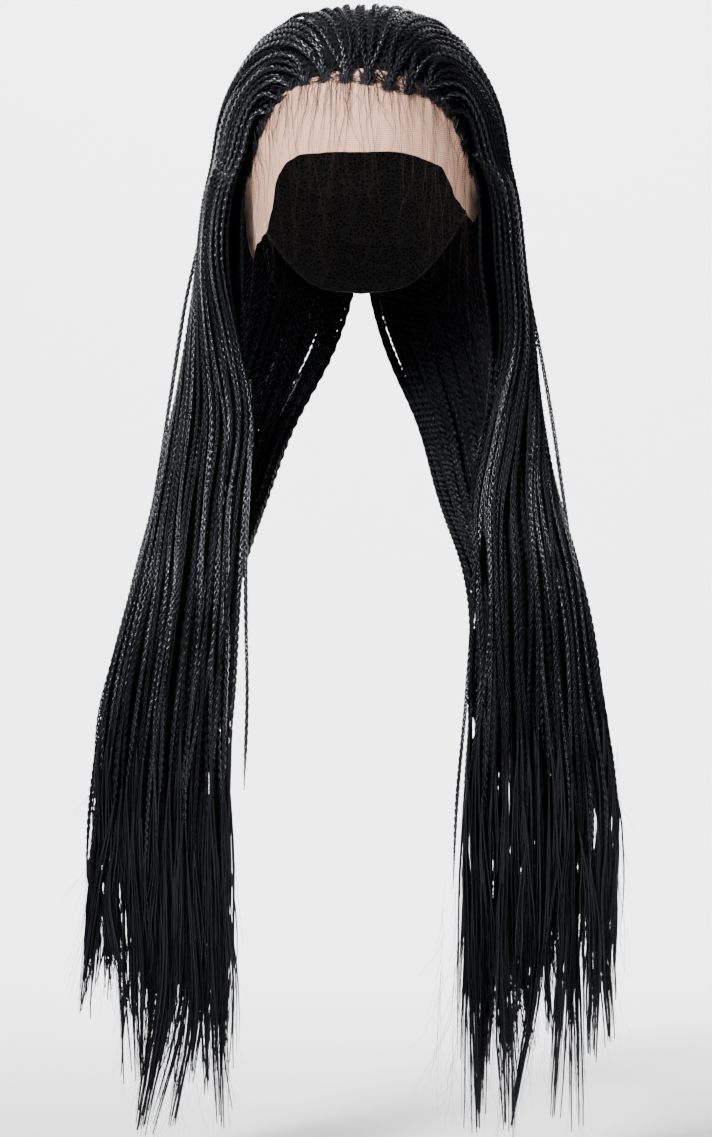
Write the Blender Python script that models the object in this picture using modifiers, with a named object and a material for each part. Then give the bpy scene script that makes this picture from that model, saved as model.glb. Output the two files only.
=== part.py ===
"""Braid wig: a cap with a lace front, and braids that sweep back over the crown and fall over both shoulders.

Metres, +Z up, the face opening towards -Y. The origin is where the crown of the head touches the cap.
Left and right are the wearer's: left is +X.
"""

import math

import bmesh
import bpy
import numpy as np

# The head that the cap fits: half an ellipsoid, with sides that draw in below its widest level.
HEAD_HALF_WIDTH = 0.074
HEAD_HALF_LENGTH = 0.094
HEAD_DOME_HEIGHT = 0.090
HEAD_CENTRE_Y = 0.010
WIDEST_Z = -HEAD_DOME_HEIGHT
NAPE_DROP = 0.075
NAPE_TAPER = 0.13

CAP_WALL = 0.0020
LACE_WALL = 0.0010
SEAM_GAP = 0.0004
HALF_GAP = 0.00015
BRAIDS_OVER_CAP = 0.0032

EDGE_STEP_DEG = 7.5
CAP_ROWS = 7
LACE_ROWS = 4

# Edge of the cap: the hairline in front, over the ear, and down to the nape.
CAP_EDGE = (
    # azimuth_deg, z
    (0, -0.0470),
    (20, -0.0490),
    (35, -0.0520),
    (42, -0.0580),
    (48, -0.0670),
    (54, -0.0860),
    (60, -0.0990),
    (70, -0.1040),
    (95, -0.1060),
    (112, -0.1120),
    (130, -0.1340),
    (150, -0.1560),
    (180, -0.1630),
)

# Free edge of the lace: across the brow, then down to a pointed tab before each ear.
LACE_END_DEG = 82.5
LACE_EDGE = (
    # azimuth_deg, z_right, z_left
    (0, -0.0905, -0.0905),
    (20, -0.0905, -0.0905),
    (33, -0.0925, -0.0945),
    (42, -0.1020, -0.0990),
    (50, -0.1280, -0.1130),
    (60, -0.1390, -0.1210),
    (68, -0.1430, -0.1260),
    (75, -0.1510, -0.1260),
    (82.5, -0.1250, -0.1180),
)

# Braids on the crown: streamlines from the hairline to the ring at the head's widest level.
HAIRLINE_END_DEG = 54.0
RING_START_DEG = 56.0
RING_END_DEG = 179.8
RING_CROWDING = 2.4
CROWN_STRIPS = 16
CROWN_ROWS = 11
STRIP_CROWDING = 0.55
STRIP_RELIEF = 0.0018
# How far a path leaves the hairline square to it, and rises before it turns down, at the temple and the middle.
PATH_PUSH = (0.10, 0.60)
PATH_LIFT = (0.12, 0.92)
CROWN_AT_HAIRLINE = 0.0052
CROWN_AT_TOP = 0.0090
CROWN_AT_SIDE = 0.0190
CROWN_RISE_SHARE = 0.35
TOP_LEVEL = 0.25
SIDE_LEVEL = 1.05
EDGE_FULLNESS = 0.45

# The falling braids hang in two sheets a side: one from temple to ear, one from behind the ear to the nape.
# Round the head they lie on it, between azimuths; below it they bow between two edges.
EAR_DEG = 97.0
HEAD_SECTIONS = (
    # z, temple_deg, nape_deg, depth
    (-0.0904, 56.0, 179.8, 0.0190),
    (-0.1200, 61.0, 179.8, 0.0235),
    (-0.1500, 60.0, 178.5, 0.0265),
)
FRONT_SECTIONS = (
    # z, temple_x_right, temple_x_left, temple_y, outer_x_right, outer_x_left, outer_y, bow, depth
    (-0.2000, 0.0720, 0.0830, -0.036, 0.1010, 0.0960, 0.004, 0.006, 0.0240),
    (-0.2500, 0.0640, 0.0720, -0.048, 0.1130, 0.1060, -0.016, 0.008, 0.0210),
    (-0.3000, 0.0700, 0.0600, -0.066, 0.1230, 0.1190, -0.044, 0.009, 0.0180),
    (-0.3400, 0.0730, 0.0655, -0.082, 0.1330, 0.1310, -0.070, 0.008, 0.0165),
    (-0.4200, 0.0765, 0.0635, -0.096, 0.1530, 0.1440, -0.092, 0.006, 0.0150),
    (-0.4800, 0.0780, 0.0605, -0.100, 0.1600, 0.1530, -0.097, 0.005, 0.0150),
    (-0.5400, 0.0780, 0.0560, -0.101, 0.1640, 0.1530, -0.098, 0.004, 0.0145),
    (-0.6100, 0.0790, 0.0550, -0.101, 0.1620, 0.1500, -0.098, 0.003, 0.0135),
    (-0.6900, 0.0820, 0.0450, -0.101, 0.1360, 0.1150, -0.099, 0.002, 0.0110),
)
HIND_SECTIONS = (
    # z, ear_x_right, ear_x_left, ear_y, nape_x_right, nape_x_left, nape_y, bow, depth
    (-0.2000, 0.0990, 0.0950, 0.008, 0.0160, 0.0150, 0.098, 0.022, 0.0240),
    (-0.2500, 0.1080, 0.1020, -0.002, 0.0430, 0.0380, 0.070, 0.014, 0.0210),
    (-0.3000, 0.1180, 0.1150, -0.023, 0.0600, 0.0500, 0.014, 0.008, 0.0180),
    (-0.3400, 0.1280, 0.1270, -0.050, 0.0720, 0.0630, -0.034, 0.004, 0.0165),
    (-0.4200, 0.1480, 0.1400, -0.074, 0.0790, 0.0660, -0.077, 0.000, 0.0150),
    (-0.4800, 0.1560, 0.1490, -0.079, 0.0810, 0.0620, -0.083, 0.000, 0.0150),
    (-0.5400, 0.1600, 0.1490, -0.081, 0.0815, 0.0580, -0.084, 0.000, 0.0145),
    (-0.6100, 0.1580, 0.1460, -0.082, 0.0825, 0.0570, -0.085, 0.000, 0.0135),
    (-0.6900, 0.1320, 0.1110, -0.086, 0.0840, 0.0470, -0.087, 0.000, 0.0110),
)

# Locks of each sheet, from its first edge to its last: where each one ends.
SPLIT_Z = -0.510
BUNDLES = (
    # name, sections, first lock, last lock
    ("front_braids", FRONT_SECTIONS, 0, 5),
    ("side_braids", HIND_SECTIONS, 0, 3),
    ("back_braids", HIND_SECTIONS, 4, 6),
)
FRONT_TIPS = {
    "right": (-0.668, -0.646, -0.674, -0.632, -0.612, -0.592),
    "left": (-0.672, -0.650, -0.674, -0.640, -0.655, -0.619),
}
HIND_TIPS = {
    "right": (-0.585, -0.622, -0.604, -0.650, -0.632, -0.674, -0.655),
    "left": (-0.604, -0.630, -0.660, -0.622, -0.668, -0.640, -0.674),
}
UNSPLIT_ROWS = 14
LOCK_ROWS = 4
LOCK_STEPS = 3
LOCK_RELIEF = 0.0018
TIP_SHARE = 0.10
BUNDLE_GAP = 0.0007
EDGE_WIDTH_SHARE = 1 / 3
EDGE_ROUNDING_FROM_Z = -0.160
EDGE_ROUNDING_TO_Z = -0.215


def material(name, colour, roughness):
    made = bpy.data.materials.new(name)
    made.use_nodes = True
    shader = made.node_tree.nodes["Principled BSDF"]
    shader.inputs["Base Color"].default_value = (*colour, 1.0)
    shader.inputs["Roughness"].default_value = roughness
    shader.inputs["Metallic"].default_value = 0.0
    return made


def clear_scene():
    for obj in list(bpy.data.objects):
        bpy.data.objects.remove(obj)


def interpolate(keys, values, at):
    """Smooth curve through the values at ascending keys, flat beyond the ends."""
    at = min(max(at, keys[0]), keys[-1])
    i = min(int(np.searchsorted(keys, at, side="right")) - 1, len(keys) - 2)
    slopes = np.gradient(np.asarray(values, float), np.asarray(keys, float))
    step = keys[i + 1] - keys[i]
    t = (at - keys[i]) / step
    return (
        values[i] * (1 + 2 * t) * (1 - t) ** 2
        + slopes[i] * step * t * (1 - t) ** 2
        + values[i + 1] * t * t * (3 - 2 * t)
        + slopes[i + 1] * step * t * t * (t - 1)
    )


def smooth_step(value, start, end):
    t = min(max((value - start) / (end - start), 0.0), 1.0)
    return t * t * (3 - 2 * t)


def column(table, index):
    return [row[index] for row in table]


def cap_edge_z(azimuth_deg):
    azimuth_deg = abs(azimuth_deg)
    return interpolate(column(CAP_EDGE, 0), column(CAP_EDGE, 1), azimuth_deg)


def lace_edge_z(azimuth_deg):
    side = 2 if azimuth_deg > 0 else 1
    return interpolate(column(LACE_EDGE, 0), column(LACE_EDGE, side), abs(azimuth_deg))


def drop_of(z):
    """Distance down the head's profile from the crown to the level z."""
    if z >= WIDEST_Z:
        return HEAD_DOME_HEIGHT * math.acos((z - WIDEST_Z) / HEAD_DOME_HEIGHT)
    return HEAD_DOME_HEIGHT * math.pi / 2 + WIDEST_Z - z


def head_point(azimuth_deg, drop, offset=0.0):
    """Point over the head. Azimuth 0 is the middle of the face and +90 the wearer's left."""
    turn = math.radians(azimuth_deg)
    quarter = HEAD_DOME_HEIGHT * math.pi / 2
    if drop <= quarter:
        polar = drop / HEAD_DOME_HEIGHT
        share, z = math.sin(polar), WIDEST_Z + (HEAD_DOME_HEIGHT + offset) * math.cos(polar)
        across, along = HEAD_HALF_WIDTH + offset, HEAD_HALF_LENGTH + offset
        return (across * share * math.sin(turn), HEAD_CENTRE_Y - along * share * math.cos(turn), z)
    below = drop - quarter
    share = 1 - NAPE_TAPER * (below / NAPE_DROP) ** 2
    across, along = HEAD_HALF_WIDTH * share + offset, HEAD_HALF_LENGTH * share + offset
    return (across * math.sin(turn), HEAD_CENTRE_Y - along * math.cos(turn), WIDEST_Z - below)


def head_direction(azimuth_deg, z):
    """Unit vector from the head's centre, in units of its radii."""
    up = (z - WIDEST_Z) / HEAD_DOME_HEIGHT
    level = math.sqrt(max(0.0, 1 - up * up))
    turn = math.radians(azimuth_deg)
    return np.array((level * math.sin(turn), -level * math.cos(turn), up))


def add_object(name, mesh_maker, finish, collection, side=1):
    """Adds the solid that mesh_maker builds in a bmesh; side -1 mirrors it to the wearer's right."""
    shape = bmesh.new()
    mesh_maker(shape)
    if side < 0:
        bmesh.ops.scale(shape, vec=(-1, 1, 1), verts=shape.verts)
    bmesh.ops.remove_doubles(shape, verts=shape.verts, dist=1e-6)
    bmesh.ops.recalc_face_normals(shape, faces=shape.faces)
    mesh = bpy.data.meshes.new(name)
    shape.to_mesh(mesh)
    shape.free()
    mesh.materials.append(finish)
    mesh.shade_smooth()
    obj = bpy.data.objects.new(name, mesh)
    collection.objects.link(obj)
    return obj


def add_sheet_rows(shape, rows, closed=False):
    """Faces between rows of points of equal length."""
    made = [[shape.verts.new(point) for point in row] for row in rows]
    for upper, lower in zip(made, made[1:]):
        count = len(upper) if closed else len(upper) - 1
        for i in range(count):
            j = (i + 1) % len(upper)
            shape.faces.new((upper[i], upper[j], lower[j], lower[i]))
    return made


def thicken(obj, thickness):
    """Wall grown outwards from the head's surface."""
    solidify = obj.modifiers.new("wall", "SOLIDIFY")
    solidify.thickness = thickness
    solidify.offset = 1.0
    solidify.use_even_offset = True


def build_cap(shape):
    azimuths = np.arange(-180, 180, EDGE_STEP_DEG)
    rows = [
        [head_point(a, drop_of(cap_edge_z(a)) * row / CAP_ROWS) for a in azimuths]
        for row in range(1, CAP_ROWS + 1)
    ]
    made = add_sheet_rows(shape, rows, closed=True)
    crown = shape.verts.new(head_point(0, 0))
    first = made[0]
    for i, vertex in enumerate(first):
        shape.faces.new((crown, first[(i + 1) % len(first)], vertex))


def build_lace(shape):
    rows = []
    for row in range(LACE_ROWS + 1):
        share = row / LACE_ROWS
        points = []
        for azimuth in np.arange(-LACE_END_DEG, LACE_END_DEG + EDGE_STEP_DEG / 2, EDGE_STEP_DEG):
            top = drop_of(cap_edge_z(azimuth)) + SEAM_GAP
            bottom = drop_of(lace_edge_z(azimuth))
            points.append(head_point(azimuth, top + (bottom - top) * share))
        rows.append(points)
    add_sheet_rows(shape, rows)


def streamline(strip):
    """Control directions of the braid path at strip 0 (temple) to 1 (middle), hairline to ring."""
    along = strip**STRIP_CROWDING
    start_azimuth = HAIRLINE_END_DEG * (1 - along)
    start = head_direction(start_azimuth, cap_edge_z(start_azimuth))
    step = 1.0
    ahead = head_direction(start_azimuth - step, cap_edge_z(start_azimuth - step))
    behind = head_direction(start_azimuth + step, cap_edge_z(start_azimuth + step))
    away = np.cross(ahead - behind, start)
    away /= np.linalg.norm(away)
    ring_share = along**RING_CROWDING
    end_azimuth = RING_START_DEG + (RING_END_DEG - RING_START_DEG) * ring_share
    end = head_direction(end_azimuth, WIDEST_Z)
    push = PATH_PUSH[0] + (PATH_PUSH[1] - PATH_PUSH[0]) * along
    lift = PATH_LIFT[0] + (PATH_LIFT[1] - PATH_LIFT[0]) * along**1.3
    return start, start + push * away, end + np.array((0, 0, lift)), end


def crown_direction(strip, share):
    """Unit vector on one streamline, share 0 at the hairline and 1 at the ring."""
    a, b, c, d = streamline(strip)
    rest = 1 - share
    path = a * rest**3 + 3 * b * rest**2 * share + 3 * c * rest * share**2 + d * share**3
    return path / np.linalg.norm(path)


def crown_point(strip, share, offset):
    radii = np.array((HEAD_HALF_WIDTH, HEAD_HALF_LENGTH, HEAD_DOME_HEIGHT)) + offset
    x, y, z = crown_direction(strip, share) * radii
    return (max(x, 0.0) + HALF_GAP, y + HEAD_CENTRE_Y, z + WIDEST_Z)


def rounded(place):
    """Share of the full depth near an edge at place 0, which is full at place 1."""
    place = min(max(place, 0.0), 1.0)
    return EDGE_FULLNESS + (1 - EDGE_FULLNESS) * math.sqrt(1 - (1 - place) ** 2)


def crown_height(strip, share):
    """Thickness of the braids above the cap: thin at the hairline and on top, full at the sides and back."""
    level = math.hypot(*crown_direction(strip, share)[:2])
    settled = CROWN_AT_TOP + (CROWN_AT_SIDE - CROWN_AT_TOP) * smooth_step(level, TOP_LEVEL, SIDE_LEVEL)
    rise = CROWN_AT_HAIRLINE + (settled - CROWN_AT_HAIRLINE) * smooth_step(share, 0.0, CROWN_RISE_SHARE)
    ring_share = strip ** (STRIP_CROWDING * RING_CROWDING)
    return BRAIDS_OVER_CAP + (rise - BRAIDS_OVER_CAP) * rounded(ring_share * 4)


def build_crown(shape):
    """Shell over the cap with one ridge for each strip of braids."""
    steps = 2 * CROWN_STRIPS
    over, under = [], []
    for row in range(CROWN_ROWS + 1):
        share = row / CROWN_ROWS
        top, bottom = [], []
        for i in range(steps + 1):
            strip = i / steps
            relief = STRIP_RELIEF * smooth_step(share, -0.3, 0.2) if i % 2 else 0.0
            top.append(crown_point(strip, share, crown_height(strip, share) + relief))
            bottom.append(crown_point(strip, share, BRAIDS_OVER_CAP))
        over.append(top)
        under.append(bottom)
    add_sheet_rows(shape, over)
    add_sheet_rows(shape, under)
    add_sheet_rows(shape, [over[0], under[0]])
    add_sheet_rows(shape, [over[-1], under[-1]])
    add_sheet_rows(shape, [[row[0] for row in over], [row[0] for row in under]])
    add_sheet_rows(shape, [[row[-1] for row in over], [row[-1] for row in under]])


def sheet_key_point(sections, row, side, across):
    """Centre of a sheet and its outward direction at one key section, at a place across it."""
    if row < len(HEAD_SECTIONS):
        _, temple_deg, nape_deg, depth = HEAD_SECTIONS[row]
        start, end = (temple_deg, EAR_DEG) if sections is FRONT_SECTIONS else (EAR_DEG, nape_deg)
        turn = math.radians(start + (end - start) * across)
        offset = BRAIDS_OVER_CAP + depth / 2
        x = (HEAD_HALF_WIDTH + offset) * math.sin(turn)
        y = HEAD_CENTRE_Y - (HEAD_HALF_LENGTH + offset) * math.cos(turn)
        out = np.array((math.sin(turn) / HEAD_HALF_WIDTH, -math.cos(turn) / HEAD_HALF_LENGTH))
        return np.array((x, y)), out / np.linalg.norm(out), depth
    _, x0_right, x0_left, y0, x1_right, x1_left, y1, bow, depth = sections[row - len(HEAD_SECTIONS)]
    start = np.array((x0_right if side < 0 else x0_left, y0))
    end = np.array((x1_right if side < 0 else x1_left, y1))
    run = end - start
    out = np.array((run[1], -run[0])) / np.linalg.norm(run)
    centre = start + run * across + out * bow * 4 * across * (1 - across)
    slope = run + out * bow * 4 * (1 - 2 * across)
    out = np.array((slope[1], -slope[0])) / np.linalg.norm(slope)
    return centre, out, depth


def sheet_point(sections, side, z, across, layer, relief=0.0):
    """Point of a sheet at height z; across runs between its edges, layer is -1 inside and 1 outside."""
    heights = [-row[0] for row in HEAD_SECTIONS] + [-row[0] for row in sections]
    points = []
    for row, height in enumerate(heights):
        centre, out, depth = sheet_key_point(sections, row, side, across)
        first_edge = rounded(across / EDGE_WIDTH_SHARE)
        last_edge = rounded((1 - across) / EDGE_WIDTH_SHARE)
        loose = smooth_step(height, -EDGE_ROUNDING_FROM_Z, -EDGE_ROUNDING_TO_Z)
        if sections is FRONT_SECTIONS:
            last_edge = 1 - (1 - last_edge) * loose
        else:
            first_edge = 1 - (1 - first_edge) * loose
            last_edge = 1 - (1 - last_edge) * loose
        inner_relief = relief * loose if layer < 0 else relief
        reach = layer * (depth / 2 * first_edge * last_edge + inner_relief)
        points.append(centre + out * reach)
    x = interpolate(heights, [point[0] for point in points], -z)
    y = interpolate(heights, [point[1] for point in points], -z)
    return np.array((max(x, 0.0) + HALF_GAP, y, z))


def lock_ring(sections, side, z, first, last, gap_first, gap_last):
    """Inner and outer points of one lock at height z, between two places across its sheet."""
    edge_first = sheet_point(sections, side, z, first, 0)
    edge_last = sheet_point(sections, side, z, last, 0)
    width = np.linalg.norm(edge_last - edge_first)
    start = first + (last - first) * gap_first / width
    end = last - (last - first) * gap_last / width
    inner, outer = [], []
    for step in range(LOCK_STEPS + 1):
        across = start + (end - start) * step / LOCK_STEPS
        relief = LOCK_RELIEF if 0 < step < LOCK_STEPS else 0.0
        inner.append(sheet_point(sections, side, z, across, -1, relief))
        outer.append(sheet_point(sections, side, z, across, 1, relief))
    return inner, outer


def shrink(ring, share):
    middle = sum(ring[0] + ring[1]) / (2 * len(ring[0]))
    return [[middle + (point - middle) * share for point in line] for line in ring]


def lock_rows(sections, side, places, gaps, tip_z):
    """Rings of one lock from the ring of the head down to its tip."""
    top = HEAD_SECTIONS[0][0]
    rings = []
    for row in range(UNSPLIT_ROWS + 1):
        z = top + (SPLIT_Z - top) * row / UNSPLIT_ROWS
        rings.append(lock_ring(sections, side, z, *places, *gaps))
    for row in range(1, LOCK_ROWS + 1):
        share = row / LOCK_ROWS
        z = SPLIT_Z + (tip_z - SPLIT_Z) * share
        ring = lock_ring(sections, side, z, *places, *gaps)
        rings.append(shrink(ring, 1 - (1 - TIP_SHARE) * share**0.8))
    return rings


def build_bundle(shape, side, bundle):
    """Locks fused side by side above the split, each with a pointed end of its own below it."""
    _, sections, first_lock, last_lock = bundle
    tips = (FRONT_TIPS if sections is FRONT_SECTIONS else HIND_TIPS)["right" if side < 0 else "left"]
    for lock in range(first_lock, last_lock + 1):
        places = (lock / len(tips), (lock + 1) / len(tips))
        gaps = (BUNDLE_GAP * (lock == first_lock), BUNDLE_GAP * (lock == last_lock))
        rings = lock_rows(sections, side, places, gaps, tips[lock])
        add_sheet_rows(shape, [inner for inner, _ in rings])
        add_sheet_rows(shape, [outer for _, outer in rings])
        for end in (rings[0], rings[-1]):
            add_sheet_rows(shape, end)
        first_wall = [(inner[0], outer[0]) for inner, outer in rings]
        last_wall = [(inner[-1], outer[-1]) for inner, outer in rings]
        add_sheet_rows(shape, first_wall if lock == first_lock else first_wall[UNSPLIT_ROWS:])
        add_sheet_rows(shape, last_wall if lock == last_lock else last_wall[UNSPLIT_ROWS:])


def main():
    clear_scene()
    wig = bpy.data.collections.new("braid_wig")
    bpy.context.scene.collection.children.link(wig)
    net = material("cap_net", (0.020, 0.018, 0.018), 0.85)
    lace = material("lace", (0.78, 0.56, 0.47), 0.80)
    hair = material("braid_hair", (0.012, 0.012, 0.014), 0.42)

    thicken(add_object("wig_cap", build_cap, net, wig), CAP_WALL)
    thicken(add_object("lace_front", build_lace, lace, wig), LACE_WALL)
    for name, side in (("left", 1), ("right", -1)):
        add_object(f"{name}_crown_braids", build_crown, hair, wig, side)
        for bundle in BUNDLES:
            add_object(
                f"{name}_{bundle[0]}",
                lambda shape: build_bundle(shape, side, bundle),
                hair,
                wig,
                side,
            )


main()
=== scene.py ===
"""Looks of the braid wig: plaited braids, loose ends, hairline, sheer lace and net cap.

Metres, +Z up, the face opening towards -Y. Left and right are the wearer's: left is +X.
"""

import math

import bpy
import numpy as np
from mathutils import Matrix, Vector


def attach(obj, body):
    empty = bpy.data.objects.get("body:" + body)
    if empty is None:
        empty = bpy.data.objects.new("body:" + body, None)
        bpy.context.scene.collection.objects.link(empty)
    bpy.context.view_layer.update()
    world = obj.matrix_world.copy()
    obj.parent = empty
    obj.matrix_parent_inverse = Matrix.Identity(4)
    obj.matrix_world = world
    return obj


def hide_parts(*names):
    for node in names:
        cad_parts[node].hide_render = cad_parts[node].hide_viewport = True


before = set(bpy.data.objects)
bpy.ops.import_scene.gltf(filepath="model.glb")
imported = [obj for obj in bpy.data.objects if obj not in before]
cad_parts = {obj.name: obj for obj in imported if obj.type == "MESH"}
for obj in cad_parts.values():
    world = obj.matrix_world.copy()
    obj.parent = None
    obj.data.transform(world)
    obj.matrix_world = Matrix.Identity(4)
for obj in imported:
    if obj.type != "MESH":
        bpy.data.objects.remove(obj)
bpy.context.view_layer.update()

rng = np.random.default_rng(7)

PIXEL = 0.00062
PHOTO_SIZE = (712, 1137)
SIDE_NAMES = {-1: "right", 1: "left"}

# The head, as the frame's solids have it.
HEAD = np.array((0.074, 0.094, 0.090))
HEAD_CENTRE_Y = 0.010
WIDEST_Z = -0.090
NAPE_DROP = 0.075
NAPE_TAPER = 0.13
BRAIDS_OVER_CAP = 0.0032

CAP_EDGE = np.array((
    # azimuth_deg, z
    (0, -0.0470),
    (20, -0.0490),
    (35, -0.0520),
    (42, -0.0580),
    (48, -0.0670),
    (54, -0.0860),
    (60, -0.0990),
    (70, -0.1040),
    (95, -0.1060),
    (112, -0.1120),
    (130, -0.1340),
    (150, -0.1560),
    (180, -0.1630),
))
LACE_EDGE = np.array((
    # azimuth_deg, z_right, z_left
    (0, -0.0905, -0.0905),
    (20, -0.0905, -0.0905),
    (33, -0.0925, -0.0945),
    (42, -0.1020, -0.0990),
    (50, -0.1280, -0.1130),
    (60, -0.1390, -0.1210),
    (68, -0.1430, -0.1260),
    (75, -0.1510, -0.1260),
    (82.5, -0.1250, -0.1180),
))

# Paths over the crown, from the hairline to the ring at the head's widest level.
HAIRLINE_END_DEG = 54.0
RING_DEG = (56.0, 179.8)
RING_CROWDING = 2.4
PATH_PUSH = (0.10, 0.60)
PATH_LIFT = (0.12, 0.92)
CROWN_AT_HAIRLINE = 0.0052
CROWN_AT_TOP = 0.0090
CROWN_AT_SIDE = 0.0190

# How much fuller than the solid crown the braids lie: on top, more behind the hairline, less at the side.
FULLER_TOP = 0.0012
FULLER_BEHIND = 0.0030
FULLER_SIDE = 0.0042

# How near braids come to the middle plane, and how far at least a fall's layers lie from its own middle.
CROWN_FROM_MIDDLE = 0.0005
FALL_FROM_MIDDLE = 0.0008
LEAST_REACH = 0.001

# Sections of the two sheets of falling braids on each side.
EAR_DEG = 97.0
HEAD_SECTIONS = np.array((
    # z, temple_deg, nape_deg, depth
    (-0.0904, 56.0, 179.8, 0.0190),
    (-0.1200, 61.0, 179.8, 0.0235),
    (-0.1500, 60.0, 178.5, 0.0265),
))
FRONT_SECTIONS = np.array((
    # z, temple_x_right, temple_x_left, temple_y, outer_x_right, outer_x_left, outer_y, bow, depth
    (-0.2000, 0.0720, 0.0830, -0.036, 0.1010, 0.0960, 0.004, 0.006, 0.0240),
    (-0.2500, 0.0640, 0.0750, -0.048, 0.1130, 0.1060, -0.016, 0.008, 0.0210),
    (-0.3000, 0.0700, 0.0655, -0.066, 0.1230, 0.1190, -0.044, 0.009, 0.0180),
    (-0.3400, 0.0730, 0.0660, -0.082, 0.1330, 0.1310, -0.070, 0.008, 0.0165),
    (-0.4200, 0.0765, 0.0645, -0.096, 0.1530, 0.1440, -0.092, 0.006, 0.0150),
    (-0.4800, 0.0780, 0.0605, -0.100, 0.1600, 0.1530, -0.097, 0.005, 0.0150),
    (-0.5400, 0.0780, 0.0560, -0.101, 0.1640, 0.1530, -0.098, 0.004, 0.0145),
    (-0.6100, 0.0790, 0.0550, -0.101, 0.1620, 0.1500, -0.098, 0.003, 0.0135),
    (-0.6900, 0.0820, 0.0450, -0.101, 0.1360, 0.1150, -0.099, 0.002, 0.0110),
))
HIND_SECTIONS = np.array((
    # z, ear_x_right, ear_x_left, ear_y, nape_x_right, nape_x_left, nape_y, bow, depth
    (-0.2000, 0.0990, 0.0950, 0.008, 0.0160, 0.0150, 0.098, 0.022, 0.0240),
    (-0.2500, 0.1080, 0.1020, -0.002, 0.0430, 0.0380, 0.070, 0.014, 0.0210),
    (-0.3000, 0.1180, 0.1150, -0.023, 0.0600, 0.0500, 0.014, 0.008, 0.0180),
    (-0.3400, 0.1280, 0.1270, -0.050, 0.0720, 0.0630, -0.034, 0.004, 0.0165),
    (-0.4200, 0.1480, 0.1400, -0.074, 0.0790, 0.0660, -0.077, 0.000, 0.0150),
    (-0.4800, 0.1560, 0.1490, -0.079, 0.0810, 0.0620, -0.083, 0.000, 0.0150),
    (-0.5400, 0.1600, 0.1490, -0.081, 0.0815, 0.0580, -0.084, 0.000, 0.0145),
    (-0.6100, 0.1580, 0.1460, -0.082, 0.0825, 0.0570, -0.085, 0.000, 0.0135),
    (-0.6900, 0.1320, 0.1110, -0.086, 0.0840, 0.0470, -0.087, 0.000, 0.0110),
))

# One braid: its width, the length of one full turn of its three strands, and where it comes undone.
BRAID_WIDTH = 0.0031
ROPE_WIDTH = BRAID_WIDTH * 1.3
PLAIT_PERIOD = 0.0150
UNDONE_Z = (-0.520, -0.430)
COVERED_END_Z = (-0.505, -0.430)

# One strand of a plait, in braid widths: its swing across and in depth, its radius, and its swell on top.
STRAND_ACROSS = 0.29
STRAND_DEEP = 0.19
STRAND_RADIUS = 0.24
STRAND_SWELL = 0.28

# Outer plaits of one side, before and behind the ear, and those that fill between the two falls.
FRONT_PLAITS = 27
HIND_PLAITS = 40
BRIDGING_PLAITS = 7
OUTER_LAYERS = (0.84, 1.0)
BACK_DEG = 144.0
LEAST_GAP = 0.0027
DULL_SHARE = {-1: 0.45, 1: 0.60}

# Rows of braids under the outer ones.
UNDER_ROWS = (
    # first_deg, last_deg, count, layer, start_share
    (RING_DEG[0] + 1, EAR_DEG, 22, 0.25, 0.04),
    (EAR_DEG, RING_DEG[1] - 1, 38, 0.30, 0.04),
    (RING_DEG[0] + 2, EAR_DEG, 18, -0.95, 0.35),
    (EAR_DEG, RING_DEG[1] - 1, 44, -0.95, 0.35),
)

# Loose ends: the share that follow a wisp or end near one, and the share that follow one of the outermost.
FOLLOW_SHARE = 0.60
FOLLOW_OR_NEAR_SHARE = 0.76
OUTERMOST_FOLLOW_SHARE = 0.85
OUTERMOST_WISPS = 5
FLYAWAYS = 260
MAIN_LOCK_RADIUS = 0.00110
LOCK_RADIUS = 0.00080
HAIR_LIMIT_X = (-0.178, 0.168)
LOWEST_Z = -0.690

# The hairline: how high knots lie off the head, and the short hairs at each, and the baby hair over the lace.
KNOT_HEIGHT = 0.0042
TUFTS_AT_KNOT = 26
HAIRS_AT_KNOT = 160
BABY_HAIRS = 260
LONG_BABY_HAIRS = 55

# Tones, from dark to light streaks of fibre and from threads to holes of the net, and the plain colours.
HAIR_TONES = ((0.0016, 0.0016, 0.0022), (0.0060, 0.0060, 0.0080))
BABY_TONES = ((0.035, 0.016, 0.012), (0.035, 0.016, 0.012))
HAIR_GLEAM = (0.84, 0.88, 1.0, 1)
LACE_COLOUR = (0.86, 0.48, 0.33, 1)
NET_TONES = ((0.030, 0.028, 0.028), (0.005, 0.005, 0.005))
PAPER_COLOUR = (0.86, 0.86, 0.87, 1)

# The lace: how far it runs up under the first braids, its mesh, and how its flat pattern is worked out.
LACE_TUCK = 0.0064
LACE_COLUMNS = 90
LACE_ROWS = 30
LACE_ROUND_RADIUS = 0.085

# The level camera straight in front, and how many pixels of the photo a metre covers at a metre's distance.
CAMERA_X = -0.0031
CAMERA_Z = -0.340
CAMERA_DISTANCE = 2.5
CAMERA_PIXELS = CAMERA_DISTANCE / PIXEL

# The floor and the wall behind it, and how far from the part they fade into the world's tone.
FLOOR_Z = -0.705
FLOOR_HALF = 12.0
WALL_START_Y = 1.6
WALL_BEND = 0.9
WALL_HEIGHT = 6.0
BEND_STEPS = 12
FADE_FROM = 0.9
FADE_TO = 3.6

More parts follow.
